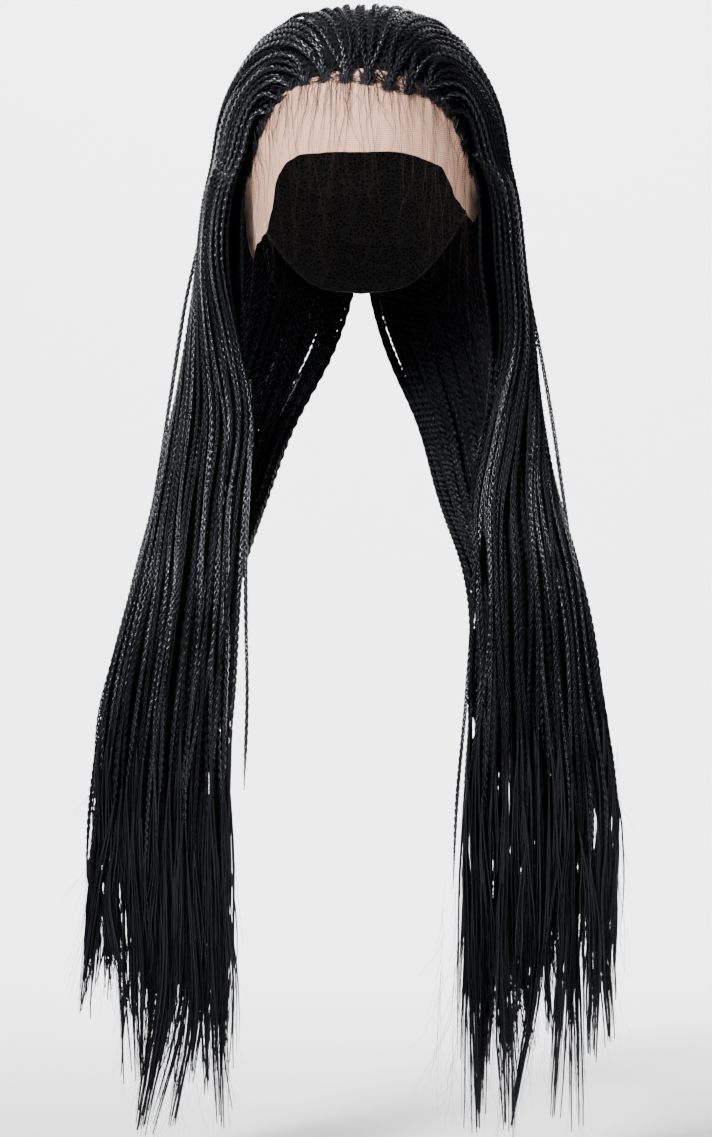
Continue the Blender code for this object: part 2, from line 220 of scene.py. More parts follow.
# How strongly the world lights the part, and how bright it looks to the camera.
WORLD_LIGHT = 0.07
WORLD_SEEN = 1.15
LIGHTS = (
    # name, place, target, width and height, watts
    ("key", (-1.0, -1.6, 1.2), (0, 0, -0.22), (0.26, 0.26), 60),
    ("top", (-0.5, -1.0, 1.25), (0, 0, -0.05), (0.20, 0.20), 44),
    ("fill", (1.4, -2.0, 0.6), (0, 0, -0.3), (0.5, 0.5), 15),
    ("back", (1.2, 2.2, 1.1), (0, 0, -0.3), (0.5, 0.5), 18),
    ("backdrop_light", (0.0, 0.75, 1.15), (0, 2.5, 0.45), (3.5, 0.8), 210),
    ("floor_light", (0.0, 0.45, 0.75), (0, 1.25, 0.05), (3.0, 0.3), 34),
)

# Places on the hairline where braids are tied.
KNOTS = {
    -1: (
        # azimuth_deg, z
        (8, -0.0475), (19, -0.0470), (30, -0.0480),
        (38.5, -0.0500), (44, -0.0570), (48.5, -0.0650),
        (52, -0.0740), (56, -0.0850), (60, -0.0940),
    ),
    1: (
        (3, -0.0485), (14, -0.0520), (24, -0.0535),
        (33, -0.0545), (40, -0.0590), (45, -0.0650),
        (50, -0.0730), (54, -0.0840), (59, -0.0940),
    ),
}

# Tips of the loose hair, measured in the photo's pixels: where each leaves the mass, and its point.
WISPS = {
    -1: (
        (92, 850, 87, 985), (98, 870, 93, 955), (101, 850, 82, 1006),
        (104, 880, 128, 1004), (112, 900, 106, 962), (120, 900, 122, 1083),
        (130, 930, 133, 1010), (138, 950, 140, 1076), (147, 960, 150, 1008),
        (156, 985, 137, 1120), (165, 1000, 144, 1125), (174, 1000, 168, 1040),
        (182, 1010, 152, 1126), (190, 1010, 172, 1123), (198, 1000, 190, 1075),
        (206, 1020, 208, 1085), (213, 1030, 217, 1119), (220, 1020, 222, 1124),
        (226, 960, 225, 1126),
    ),
    1: (
        (448, 900, 433, 1127), (456, 940, 452, 1120), (464, 960, 462, 1122),
        (473, 960, 478, 1128), (482, 960, 480, 1112), (490, 960, 487, 1060),
        (499, 960, 504, 1126), (507, 960, 511, 1127), (517, 970, 519, 1040),
        (527, 970, 533, 1048), (538, 960, 513, 1121), (548, 950, 551, 1030),
        (558, 930, 560, 985), (566, 920, 553, 1119), (574, 890, 578, 1122),
        (583, 890, 580, 970), (592, 880, 592, 1056), (601, 870, 611, 1040),
        (610, 840, 606, 925), (618, 820, 612, 940),
    ),
}

# Single braids apart from the mass: name, side, width, and points in the photo's pixels with a depth.
STRAYS = (
    ("right_inner_stray", -1, 0.0028, (
        (250, 380, -0.040), (249, 470, -0.066), (246, 547, -0.086),
        (246, 620, -0.098), (247, 700, -0.104), (244, 790, -0.106),
    )),
    ("left_outer_stray", 1, 0.0028, (
        (514, 220, 0.000), (536, 330, -0.002), (549, 400, -0.010),
        (560, 474, -0.033), (569, 540, -0.058), (580, 640, -0.085),
    )),
    ("left_inner_stray", 1, 0.0028, (
        (476, 500, -0.066), (473, 600, -0.088), (466, 700, -0.100),
        (457, 800, -0.105), (453, 890, -0.106),
    )),
    ("right_outer_stray", -1, 0.0027, (
        (204, 220, 0.006), (186, 300, 0.005), (173, 380, -0.006),
        (159, 470, -0.033), (144, 560, -0.066), (128, 650, -0.087),
    )),
    ("right_shoulder_stray", -1, 0.0028, (
        (150, 520, -0.050), (139, 560, -0.064), (124, 620, -0.080),
        (110, 670, -0.087), (100, 710, -0.091), (93, 770, -0.095),
    )),
)


def smooth_step(value, start, end):
    t = np.clip((value - start) / (end - start), 0.0, 1.0)
    return t * t * (3 - 2 * t)


def mix(a, b, share):
    return a + (b - a) * share


def cubic(t, step, value, slope, next_value, next_slope):
    """Cubic between two values with the slopes given there, at the share t of a step."""
    return (
        value * (1 + 2 * t) * (1 - t) ** 2
        + slope * step * t * (1 - t) ** 2
        + next_value * t * t * (3 - 2 * t)
        + next_slope * step * t * t * (t - 1)
    )


def hermite(keys, values, at):
    """Smooth curve through values at ascending keys; a table of values has one column for each value of at."""
    at = np.clip(at, keys[0], keys[-1])
    i = np.clip(np.searchsorted(keys, at, side="right") - 1, 0, len(keys) - 2)
    slopes = np.gradient(values, keys, axis=0)
    step = keys[i + 1] - keys[i]
    t = (at - keys[i]) / step
    columns = (np.arange(len(at)),) if values.ndim > 1 else ()
    if values.ndim > 2:
        t, step = t[:, None], step[:, None]
    here = (i, *columns)
    there = (i + 1, *columns)
    return cubic(t, step, values[here], slopes[here], values[there], slopes[there])


def new_mesh(name, vertices, faces):
    mesh = bpy.data.meshes.new(name)
    mesh.from_pydata(vertices, [], faces)
    mesh.update()
    mesh.shade_smooth()
    return mesh


def add_object(name, data):
    piece = bpy.data.objects.new(name, data)
    bpy.context.scene.collection.objects.link(piece)
    return piece


def unit(vectors):
    return vectors / np.maximum(np.linalg.norm(vectors, axis=-1, keepdims=True), 1e-12)


def wobble(along, count, longest):
    """Smooth random curve over along, about 1 high, from a few sines."""
    total = np.zeros_like(along)
    for k in range(1, count + 1):
        height = rng.normal()
        shift = rng.uniform(0, 2 * math.pi)
        total += height * np.sin(along * 2 * math.pi * k / longest + shift) / k
    return total


def cap_edge_z(azimuth_deg):
    return hermite(CAP_EDGE[:, 0], CAP_EDGE[:, 1], np.abs(np.atleast_1d(azimuth_deg).astype(float)))


def lace_edge_z(azimuth_deg):
    azimuth_deg = np.atleast_1d(azimuth_deg).astype(float)
    right = hermite(LACE_EDGE[:, 0], LACE_EDGE[:, 1], np.abs(azimuth_deg))
    left = hermite(LACE_EDGE[:, 0], LACE_EDGE[:, 2], np.abs(azimuth_deg))
    return np.where(azimuth_deg > 0, left, right)


def head_direction(azimuth_deg, z):
    up = (z - WIDEST_Z) / HEAD[2]
    level = np.sqrt(np.maximum(0.0, 1 - up * up))
    turn = np.radians(azimuth_deg)
    return np.stack((level * np.sin(turn), -level * np.cos(turn), up + 0 * level), -1)


def head_point(azimuth_deg, z, offset):
    """Point over the head at a level z, with its outward direction."""
    turn = np.radians(azimuth_deg)
    above = z >= WIDEST_Z
    up = np.clip((z - WIDEST_Z) / HEAD[2], 0, 1)
    level = np.where(above, np.sqrt(1 - up * up), 1 - NAPE_TAPER * ((WIDEST_Z - z) / NAPE_DROP) ** 2)
    x = HEAD[0] * level * np.sin(turn)
    y = -HEAD[1] * level * np.cos(turn)
    surface = np.stack((x, y, z - WIDEST_Z + 0 * turn), -1)
    out = surface / HEAD**2
    out[..., 2] *= above
    out = unit(out)
    point = surface + out * np.atleast_1d(offset)[..., None]
    return point + np.array((0, HEAD_CENTRE_Y, WIDEST_Z)), out


def crown_points(ring_deg, share, depth_share, below=0.0, rise_by=0.0):
    """Points over the crown on the path that meets the ring at ring_deg; depth_share is 0 on the cap, 1 on top.

    They lie below by one amount everywhere, and rise by the other towards the top.
    """
    place = (ring_deg - RING_DEG[0]) / (RING_DEG[1] - RING_DEG[0])
    along = place ** (1 / RING_CROWDING)
    azimuth = HAIRLINE_END_DEG * (1 - along)
    start, ahead, behind = (head_direction(azimuth + d, cap_edge_z(azimuth + d)[0]) for d in (0, -1, 1))
    away = unit(np.cross(ahead - behind, start))
    end = head_direction(ring_deg, WIDEST_Z)
    push = mix(*PATH_PUSH, along)
    lift = mix(*PATH_LIFT, along**1.3)
    rest, share = 1 - share[:, None], share[:, None]
    path = unit(
        start * rest**3
        + 3 * (start + push * away) * rest**2 * share
        + 3 * (end + np.array((0, 0, lift))) * rest * share**2
        + end * share**3
    )
    share = share[:, 0]
    level = np.hypot(path[:, 0], path[:, 1])
    settled = mix(CROWN_AT_TOP, CROWN_AT_SIDE, smooth_step(level, 0.25, 1.05))
    rise = mix(CROWN_AT_HAIRLINE, settled, smooth_step(share, 0.0, 0.35))
    edge = rounded(place * 4)
    fuller = FULLER_TOP + FULLER_BEHIND * smooth_step(level, 0.10, 0.38)
    fuller -= FULLER_SIDE * smooth_step(level, 0.50, 0.95)
    fuller = (fuller + rise_by * (1 - smooth_step(level, 0.6, 1.0))) * smooth_step(share, 0.02, 0.22)
    height = BRAIDS_OVER_CAP + ((rise - BRAIDS_OVER_CAP) * edge + fuller) * depth_share - below
    points = path * (HEAD + height[:, None])
    points[:, 0] = np.maximum(points[:, 0], CROWN_FROM_MIDDLE)
    return points + np.array((0, HEAD_CENTRE_Y, WIDEST_Z)), unit(path / HEAD)


def rounded(place):
    """Share of the full depth near an edge at place 0, which is full at place 1."""
    place = np.clip(place, 0.0, 1.0)
    return 0.45 + 0.55 * np.sqrt(1 - (1 - place) ** 2)


def sheet_points(sections, side, z, across, layer, inset):
    """Points of a falling sheet at heights z; across is 0 to 1 between its edges, layer -1 inside, 1 outside."""
    front = sections is FRONT_SECTIONS
    levels = []
    for z_key, temple_deg, nape_deg, depth in HEAD_SECTIONS:
        first, last = (temple_deg, EAR_DEG) if front else (EAR_DEG, nape_deg)
        turn = np.radians(mix(first, last, across))
        offset = BRAIDS_OVER_CAP + depth / 2
        x = (HEAD[0] + offset) * np.sin(turn)
        y = HEAD_CENTRE_Y - (HEAD[1] + offset) * np.cos(turn)
        centre = np.stack((x, y), -1)
        out = unit(np.stack((np.sin(turn) / HEAD[0], -np.cos(turn) / HEAD[1]), -1))
        reach = depth / 2 * (rounded(across * 3) if front else 1.0) - inset
        levels.append((-z_key, centre + out * (layer * reach)[:, None], out))
    for z_key, right_0, left_0, y_0, right_1, left_1, y_1, bow, depth in sections:
        first = np.array((right_0 if side < 0 else left_0, y_0))
        run = np.array((right_1 if side < 0 else left_1, y_1)) - first
        square = np.array((run[1], -run[0])) / np.linalg.norm(run)
        centre = first + run * across[:, None] + square * (bow * 4 * across * (1 - across))[:, None]
        slope = run + square * (bow * 4 * (1 - 2 * across))[:, None]
        out = unit(np.stack((slope[:, 1], -slope[:, 0]), -1))
        reach = np.maximum(depth / 2 * rounded(across * 3) * rounded((1 - across) * 3) - inset, LEAST_REACH)
        levels.append((-z_key, centre + out * (layer * reach)[:, None], out))
    keys, points, outs = (np.array(part) for part in zip(*levels))
    flat = hermite(keys, points, -z)
    out = unit(hermite(keys, outs, -z))
    flat[:, 0] = np.maximum(flat[:, 0], FALL_FROM_MIDDLE)
    return np.column_stack((flat, z)), np.column_stack((out, 0 * z))


def resample(points, outs, step):
    """The path at even steps, with its outward directions."""
    length = np.concatenate(([0.0], np.cumsum(np.linalg.norm(np.diff(points, axis=0), axis=1))))
    count = max(4, int(round(length[-1] / step)) + 1)
    at = np.linspace(0, length[-1], count)
    new = np.stack([np.interp(at, length, points[:, k]) for k in range(3)], -1)
    out = unit(np.stack([np.interp(at, length, outs[:, k]) for k in range(3)], -1))
    return new, out, at


def smoothed(points, passes):
    points = points.copy()
    for _ in range(passes):
        points[1:-1] = points[1:-1] * 0.5 + (points[:-2] + points[2:]) * 0.25
    return points


class Strands:
    """Collects tubes and turns them into one mesh; tone is the index of the next tubes' material."""

    def __init__(self):
        self.points = []
        self.quads = []
        self.uvs = []
        self.crests = []
        self.tones = []
        self.count = 0
        self.tone = 0

    def tube(self, rings, along, crest=0.5):
        """rings (n, sides, 3) in order, along (n,) in metres for the UVs, crest 1 where it lies on top."""
        n, sides = rings.shape[:2]
        self.points.append(rings.reshape(-1, 3))
        self.crests.append(np.repeat(np.broadcast_to(crest, (n,)), sides))
        ring = np.arange(n - 1)[:, None] * sides
        corner = np.arange(sides)[None, :]
        after = (corner + 1) % sides
        quads = np.stack((ring + corner, ring + after, ring + sides + after, ring + sides + corner), -1)
        self.quads.append(quads.reshape(-1, 4) + self.count)
        self.tones.append(np.full(quads.shape[0] * sides, self.tone, dtype=np.int32))
        u = np.broadcast_to(corner / sides, (n - 1, sides))
        v = np.broadcast_to(along[:-1, None], (n - 1, sides))
        v_next = np.broadcast_to(along[1:, None], (n - 1, sides))
        u_corners = np.stack((u, u + 1 / sides, u + 1 / sides, u), -1)
        v_corners = np.stack((v, v, v_next, v_next), -1)
        self.uvs.append(np.stack((u_corners, v_corners), -1).reshape(-1, 2))
        self.count += n * sides

    def build(self, name, *materials):
        points = np.concatenate(self.points)
        quads = np.concatenate(self.quads)
        mesh = bpy.data.meshes.new(name)
        mesh.vertices.add(len(points))
        mesh.vertices.foreach_set("co", points.astype(np.float32).ravel())
        mesh.loops.add(quads.size)
        mesh.loops.foreach_set("vertex_index", quads.astype(np.int32).ravel())
        mesh.polygons.add(len(quads))
        mesh.polygons.foreach_set("loop_start", np.arange(len(quads), dtype=np.int32) * 4)
        for material in materials:
            mesh.materials.append(material)
        mesh.polygons.foreach_set("material_index", np.concatenate(self.tones))
        layer = mesh.uv_layers.new(name="UVMap")
        layer.data.foreach_set("uv", np.concatenate(self.uvs).astype(np.float32).ravel())
        crest = mesh.attributes.new("crest", "FLOAT", "POINT")
        crest.data.foreach_set("value", np.concatenate(self.crests).astype(np.float32))
        mesh.update(calc_edges=True)
        mesh.validate()
        mesh.shade_smooth()
        piece = add_object(name, mesh)
        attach(piece, "root")
        return piece


def frames(points, outs, twist):
    """Across and depth directions of a path whose flat side faces outs, turned by twist."""
    tangents = unit(np.gradient(points, axis=0))
    across = unit(np.cross(tangents, outs))
    deep = np.cross(across, tangents)
    c, s = np.cos(twist)[:, None], np.sin(twist)[:, None]
    return across * c + deep * s, deep * c - across * s


def rings_round(centres, across, deep, sizes, angles, flatness=1.0):
    """Points round each centre at the angles; sizes holds a radius for each centre, or for each point."""
    sizes = sizes[:, None, None] if sizes.ndim == 1 else sizes[..., None]
    c, s = np.cos(angles)[None, :, None], np.sin(angles)[None, :, None]
    return centres[:, None] + sizes * (across[:, None] * c + deep[:, None] * s * flatness)


def add_plait(strands, points, outs, sides=3, width=BRAID_WIDTH, thin_end=0.45, thick_start=0.0):
    """Three strands that cross over each other along the path, six steps to a full turn."""
    path, out, at = resample(points, outs, PLAIT_PERIOD / 6 * (1 + 0.07 * rng.normal()))
    across, deep = frames(path, out, 0.5 * wobble(at, 3, 0.45))
    end = at[-1]
    size = width * (0.6 + 0.4 * smooth_step(at, 0.0, 0.008))
    size *= 1 - thin_end * smooth_step(at, end - 0.03, end)
    size *= (1 + 0.05 * wobble(at, 2, 0.3)) * (1 + thick_start * (1 - smooth_step(at, 0.02, 0.13)))
    angles = (np.arange(sides) + 0.5) * 2 * math.pi / sides
    for k in range(3):
        phase = math.pi / 6 + math.pi / 3 * np.arange(len(path)) + 2 * math.pi * k / 3
        on_top = np.sin(2 * phase)
        aside = across * (STRAND_ACROSS * size * np.sin(phase))[:, None]
        centres = path + aside + deep * (STRAND_DEEP * size * on_top)[:, None]
        radii = STRAND_RADIUS * size * (1 + STRAND_SWELL * on_top)
        strands.tube(rings_round(centres, across, deep, radii, angles), at, 0.5 + 0.5 * on_top)


def add_rope(strands, points, outs):
    """One three-sided tube with bumps left and right in turn, for braids that others cover."""
    path, out, at = resample(points, outs, PLAIT_PERIOD / 3)
    across, deep = frames(path, out, 0.4 * wobble(at, 3, 0.4))
    way = 1 - 2 * (np.arange(len(path)) % 2)
    end = at[-1]
    size = ROPE_WIDTH * 0.5 * (0.6 + 0.4 * smooth_step(at, 0.0, 0.01))
    size *= 1 - 0.5 * smooth_step(at, end - 0.02, end)
    angles = np.arange(3) * 2 * math.pi / 3
    bump = 1 + 0.22 * np.cos(angles)[None, :] * way[:, None]
    strands.tube(rings_round(path, across, deep, size[:, None] * bump, angles, flatness=0.7), at)


def add_hair(strands, points, radius, taper, late=1.5):
    """One fine three-sided hair along the points; at its end the share taper is left of its radius."""
    points = points.copy()
    points[:, 0] = np.clip(points[:, 0], *HAIR_LIMIT_X)
    tangents = unit(np.gradient(points, axis=0))
    helper = np.where(np.abs(tangents[:, 2:]) < 0.8, np.array((0, 0, 1.0)), np.array((0, 1.0, 0)))
    across = unit(np.cross(tangents, helper))
    deep = np.cross(across, tangents)
    share = np.linspace(0, 1, len(points))
    size = radius * (1 - (1 - taper) * share**late)
    strands.tube(rings_round(points, across, deep, size, np.arange(3) * 2 * math.pi / 3), share * 0.1)


def bridge_points(side, z, share, inset):
    """Points of a braid between the front sheet's hind edge (share 0) and the hind sheet's front edge (1)."""
    ahead, ahead_out = sheet_points(FRONT_SECTIONS, side, z, 0 * z + 1, 0 * z + 0.2, inset)
    behind, behind_out = sheet_points(HIND_SECTIONS, side, z, 0 * z, 0 * z + 0.2, inset)
    swing = np.clip(share + 0.15 * wobble(z, 2, 0.5), 0, 1)[:, None]
    points = mix(ahead, behind, swing) + np.array((0.0012, 0, 0)) * wobble(z, 2, 0.4)[:, None]
    return points, unit(mix(ahead_out, behind_out, swing) + np.array((0.6, 0, 0)))


def braid_path(side, ring_deg, layer, start_share, end_z, knots=None, bridge=None):
    """Path of one braid over the crown and down its fall, with outward directions.

    Its start moves to the nearest knot if knots are given. A bridge share puts its fall between the sheets.
    """
    front = ring_deg < EAR_DEG
    sections = FRONT_SECTIONS if front else HIND_SECTIONS
    first, last = (RING_DEG[0], EAR_DEG) if front else (EAR_DEG, RING_DEG[1])
    place = (ring_deg - first) / (last - first)
    inset = BRAID_WIDTH * 0.5
    share = np.linspace(start_share, 1.0, 40)
    emerge = 1.0 if start_share == 0 else smooth_step(share, start_share - 0.02, start_share + 0.15)
    depth_share = (layer + 1) / 2 * emerge
    crown, crown_out = crown_points(ring_deg, share, depth_share, inset * 0.6, rng.uniform(-0.0014, 0.0008))
    z = np.arange(-0.1000, end_z, -0.006)
    depth = (WIDEST_Z - z) / 0.5
    across = np.clip(place + 0.045 * smooth_step(depth, 0.05, 0.6) * wobble(z, 3, 0.55), 0.0, 1.0)
    wander = np.clip(layer + 0.35 * smooth_step(-z, 0.16, 0.42) * wobble(z, 2, 0.5), -1, 1.1)
    if bridge is None:
        fall, fall_out = sheet_points(sections, side, z, across, wander, inset)
    else:
        fall, fall_out = bridge_points(side, z, bridge, inset)
    points = np.concatenate((crown, fall))
    outs = np.concatenate((crown_out, fall_out))
    points, outs, at = resample(points, outs, 0.005)
    points = smoothed(points, 6)
    if side < 0:
        points, outs = points * (-1, 1, 1), outs * (-1, 1, 1)
    if knots is not None and start_share == 0:
        near = knots[np.argmin(np.linalg.norm(knots - points[0], axis=1))]
        points = points + (near - points[0]) * (1 - smooth_step(at, 0.0, 0.026))[:, None]
    return points, outs


def bisect_order(count):
    """Indices 0 to count - 1, each one as far from those before it as can be."""
    order, step = [0, count - 1], (count - 1) / 2
    seen = {0, count - 1}
    while len(order) < count:
        for k in range(int(round((count - 1) / step)) + 1):
            index = int(round(k * step))
            if index not in seen and index < count:
                seen.add(index)
                order.append(index)
        step /= 2
    return order


def crown_starts(ring_degs, least_gap):
    """Where on its path each braid starts, as soon as there is room between its neighbours."""
    shares = np.linspace(0, 1, 41)
    paths = [crown_points(deg, shares, 1.0)[0] for deg in ring_degs]
    gap_needed = least_gap * (1.15 - 0.15 * smooth_step(shares, 0.0, 0.3))
    starts = {}
    for index in bisect_order(len(ring_degs)):
        free = np.ones(len(shares), bool)
        for other, start in starts.items():
            if abs(other - index) > 24:
                continue
            gap = np.linalg.norm(paths[index] - paths[other], axis=1)
            free &= (gap > gap_needed) | (shares < start - 0.02)
        blocked = np.nonzero(~free)[0]
        starts[index] = shares[min(blocked[-1] + 1, len(shares) - 1)] if len(blocked) else 0.0
    return [starts[i] for i in range(len(ring_degs))]


def ring_spots(first_deg, last_deg, count):
    spots = first_deg + (last_deg - first_deg) * (np.arange(count) + 0.5) / count
    return spots + rng.normal(0, 0.12, count)


def feed(tree, socket, given):
    """Gives an input another node's output, or a plain value."""
    if isinstance(given, bpy.types.NodeSocket):
        tree.links.new(given, socket)
    else:
        socket.default_value = given


def add_node(tree, kind, inputs=None):
    """A new node, with what its inputs are given by name."""
    node = tree.nodes.new(kind)
    for name, given in (inputs or {}).items():
        feed(tree, node.inputs[name], given)
    return node


def add_math(tree, operation, *inputs):
    node = tree.nodes.new("ShaderNodeMath")
    node.operation = operation
    for socket, given in zip(node.inputs, inputs):
        feed(tree, socket, given)
    return node.outputs[0]


def add_mix(tree, share, first, second):
    node = tree.nodes.new("ShaderNodeMixShader")
    for socket, given in zip(node.inputs, (share, first, second)):
        feed(tree, socket, given)
    return node.outputs["Shader"]


def add_range(tree, value, start, end, new_start, new_end):
    """A value between start and end, stretched to lie between new_start and new_end."""
    limits = {"From Min": start, "From Max": end, "To Min": new_start, "To Max": new_end}
    return add_node(tree, "ShaderNodeMapRange", {"Value": value, **limits})


def add_noise(tree, place, stretch, detail):
    scaled = add_node(tree, "ShaderNodeMapping", {"Vector": place, "Scale": stretch})
    inputs = {"Vector": scaled.outputs["Vector"], "Scale": 1.0, "Detail": detail}
    return add_node(tree, "ShaderNodeTexNoise", inputs).outputs["Fac"]


def add_cells(tree, place, dimensions, scale, randomness):
    """Distance from the threads of a net."""
    node = add_node(tree, "ShaderNodeTexVoronoi", {"Vector": place, "Scale": scale, "Randomness": randomness})
    node.feature = "DISTANCE_TO_EDGE"
    node.voronoi_dimensions = dimensions
    return node.outputs["Distance"]


def add_tones(tree, value, start, end, tones):
    """Colours from the first tone at start to the second at end."""
    node = add_node(tree, "ShaderNodeValToRGB", {"Fac": value})
    for stop, position, tone in zip(node.color_ramp.elements, (start, end), tones):
        stop.position = position
        stop.color = (*tone, 1)
    return node.outputs["Color"]


def add_bump(tree, height, strength, distance):
    return add_node(tree, "ShaderNodeBump", {"Height": height, "Strength": strength, "Distance": distance})


def flat_place(tree):
    place = add_node(tree, "ShaderNodeUVMap")
    place.uv_map = "UVMap"
    return place.outputs["UV"]


def new_material(name):
    material = bpy.data.materials.new(name)
    material.use_nodes = True
    return material, material.node_tree, material.node_tree.nodes["Principled BSDF"]


def hair_material(name, streak, roughness, specular, plaited=False, tones=HAIR_TONES):
    """Glossy fibre: fine streaks along each strand, shinier patches, and duller where a strand lies under."""
    material, tree, shader = new_material(name)
    shader.inputs["Specular IOR Level"].default_value = specular
    shader.inputs["Specular Tint"].default_value = HAIR_GLEAM
    uv = flat_place(tree)
    fibre = add_noise(tree, uv, (streak, 60.0, 1.0), 3.0)
    feed(tree, shader.inputs["Base Color"], add_tones(tree, fibre, 0.30, 0.75, tones))
    place = add_node(tree, "ShaderNodeTexCoord")
    patch = add_noise(tree, place.outputs["Object"], (170.0, 170.0, 9.0), 2.0)
    patchy = add_range(tree, patch, 0.32, 0.68, roughness - 0.07, roughness + 0.12)
    crest = add_node(tree, "ShaderNodeAttribute")
    crest.attribute_name = "crest"
    dull = add_range(tree, crest.outputs["Fac"], 0.25, 0.80, 0.10, 0.0)
    rough = add_math(tree, "ADD", patchy.outputs["Result"], dull.outputs["Result"])
    feed(tree, shader.inputs["Roughness"], rough)
    bump = add_bump(tree, fibre, 0.35, 0.0002)
    if plaited:
        bump = plait_bump(tree, uv, bump)
    feed(tree, shader.inputs["Normal"], bump.outputs["Normal"])
    return material


def plait_bump(tree, uv, under):
    """Relief of strands that meet in a V down the middle of a covered braid, over the relief of its fibre."""
    parts = add_node(tree, "ShaderNodeSeparateXYZ", {"Vector": uv})
    from_middle = add_math(tree, "PINGPONG", add_math(tree, "MULTIPLY", parts.outputs["X"], 2.0), 0.5)
    slant = add_math(tree, "MULTIPLY", from_middle, 1.4)
    along = add_math(tree, "MULTIPLY_ADD", parts.outputs["Y"], 3.0 / PLAIT_PERIOD, slant)
    bump = add_bump(tree, add_math(tree, "PINGPONG", along, 0.5), 1.0, 0.0018)
    feed(tree, bump.inputs["Normal"], under.outputs["Normal"])
    return bump


def lace_material():
    """Sheer skin-tone net: holes between fine threads."""
    material, tree, shader = new_material("lace_net")
    shader.inputs["Base Color"].default_value = LACE_COLOUR
    shader.inputs["Roughness"].default_value = 0.75
    shader.inputs["Sheen Weight"].default_value = 0.2
    cells = add_cells(tree, flat_place(tree), "2D", 800.0, 0.35)
    thread = add_range(tree, cells, 0.10, 0.22, 1.0, 0.62).outputs["Result"]
    feed(tree, shader.inputs["Alpha"], thread)
    feed(tree, shader.inputs["Normal"], add_bump(tree, thread, 0.3, 0.0002).outputs["Normal"])
    return material


def cap_material():
    """Black stretch net, matt, with a fine open weave in its tone and relief."""
    material, tree, shader = new_material("cap_stretch_net")
    shader.inputs["Roughness"].default_value = 0.9
    shader.inputs["Specular IOR Level"].default_value = 0.2
    place = add_node(tree, "ShaderNodeTexCoord")
    cells = add_cells(tree, place.outputs["Object"], "3D", 420.0, 1.0)
    feed(tree, shader.inputs["Base Color"], add_tones(tree, cells, 0.05, 0.25, NET_TONES))
    bump = add_bump(tree, cells, 0.6, 0.0004)
    bump.invert = True
    feed(tree, shader.inputs["Normal"], bump.outputs["Normal"])
    return material


def image_point(px, py, y):
    """Where a point of the photo lies at a depth y, by the camera of this scene."""
    metres = (y + CAMERA_DISTANCE) / CAMERA_PIXELS
    x = CAMERA_X + (px - PHOTO_SIZE[0] / 2) * metres
    z = CAMERA_Z - (py - PHOTO_SIZE[1] / 2) * metres
    return np.array((x, y, z))


def add_tail(tails, start, ahead, root, tip, full):
    """Loose straight hair from a braid's end past root to a tip: tapering locks and fine fibres round them."""
    locks, fibres = (7, 8) if full else (5, 5)
    share = np.linspace(0, 1, 11)
    middle = np.clip((start[2] - root[2]) / (start[2] - tip[2]), 0.25, 0.9)
    keys = np.array((0.0, middle, 1.0))
    spots = np.array((start, root, tip))
    slopes = np.array((ahead * (start[2] - tip[2]), (tip - start) * 0.9, (tip - root) / (1 - middle)))
    i = (share > middle).astype(int)
    step = keys[i + 1] - keys[i]
    t = ((share - keys[i]) / step)[:, None]
    curve = cubic(t, step[:, None], spots[i], slopes[i], spots[i + 1], slopes[i + 1])
    for index in range(locks):
        main = index == 0
        spread = rng.normal(0, 0.0016, 3) * (1, 0.8, 0)
        lock = curve + spread * (np.sin(share * math.pi * 0.85) + 0.5 * share)[:, None]
        lock[:, 0] += 0.0015 * wobble(share, 3, 1.1) * share * (1.2 - share)
        steps = np.linspace(0, 10 * (1.0 if main else rng.uniform(0.72, 1.0)), 11)
        lock = np.stack([np.interp(steps, np.arange(11), lock[:, k]) for k in range(3)], -1)
        radius = MAIN_LOCK_RADIUS if main else LOCK_RADIUS * rng.uniform(0.6, 1.15)
        add_hair(tails, lock, radius, taper=0.34 if main else 0.14, late=2.6)
    for _ in range(fibres):
        spread = rng.normal(0, 0.0038, 3) * (1, 0.7, 0)
        fibre = curve[::2] + spread * share[::2, None] ** 0.8
        fibre[:, 0] += 0.0020 * wobble(share[::2], 2, 1.2) * share[::2]
        fibre = fibre[0] + (fibre - fibre[0]) * rng.uniform(0.55, 1.04)
        add_hair(tails, fibre, rng.uniform(0.00014, 0.00024), taper=0.3)


def add_flyaways(tails, wisps, side):
    """Fine hairs that bend away from the loose ends."""
    share = np.linspace(0, 1, 8)
    for _ in range(FLYAWAYS):
        root, tip = wisps[rng.integers(len(wisps))]
        begin = mix(root + np.array((0, 0, 0.05)), tip, rng.uniform(0.0, 0.8))
        length = rng.uniform(0.02, 0.06)
        away = rng.normal(0, 0.007) + 0.003 * side * np.sign(root[0] * side - 0.10)
        hair = begin + np.stack((away * share**1.6, rng.normal(0, 0.006) * share, -length * share), -1)
        hair[:, 0] += 0.0016 * wobble(share, 3, 1.1) * share
        hair[:, 2] = np.maximum(hair[:, 2], LOWEST_Z)
        add_hair(tails, hair, rng.uniform(0.00010, 0.00017), taper=0.35)


def wisps_of(side):
    """Tips that one side's loose hair gathers to, each after the place above it where it leaves the mass."""
    found = []
    for px, py, tip_px, tip_py in WISPS[side]:
        y = rng.uniform(-0.104, -0.090)
        found.append((image_point(px, py, y), image_point(tip_px, tip_py, y)))
    return found


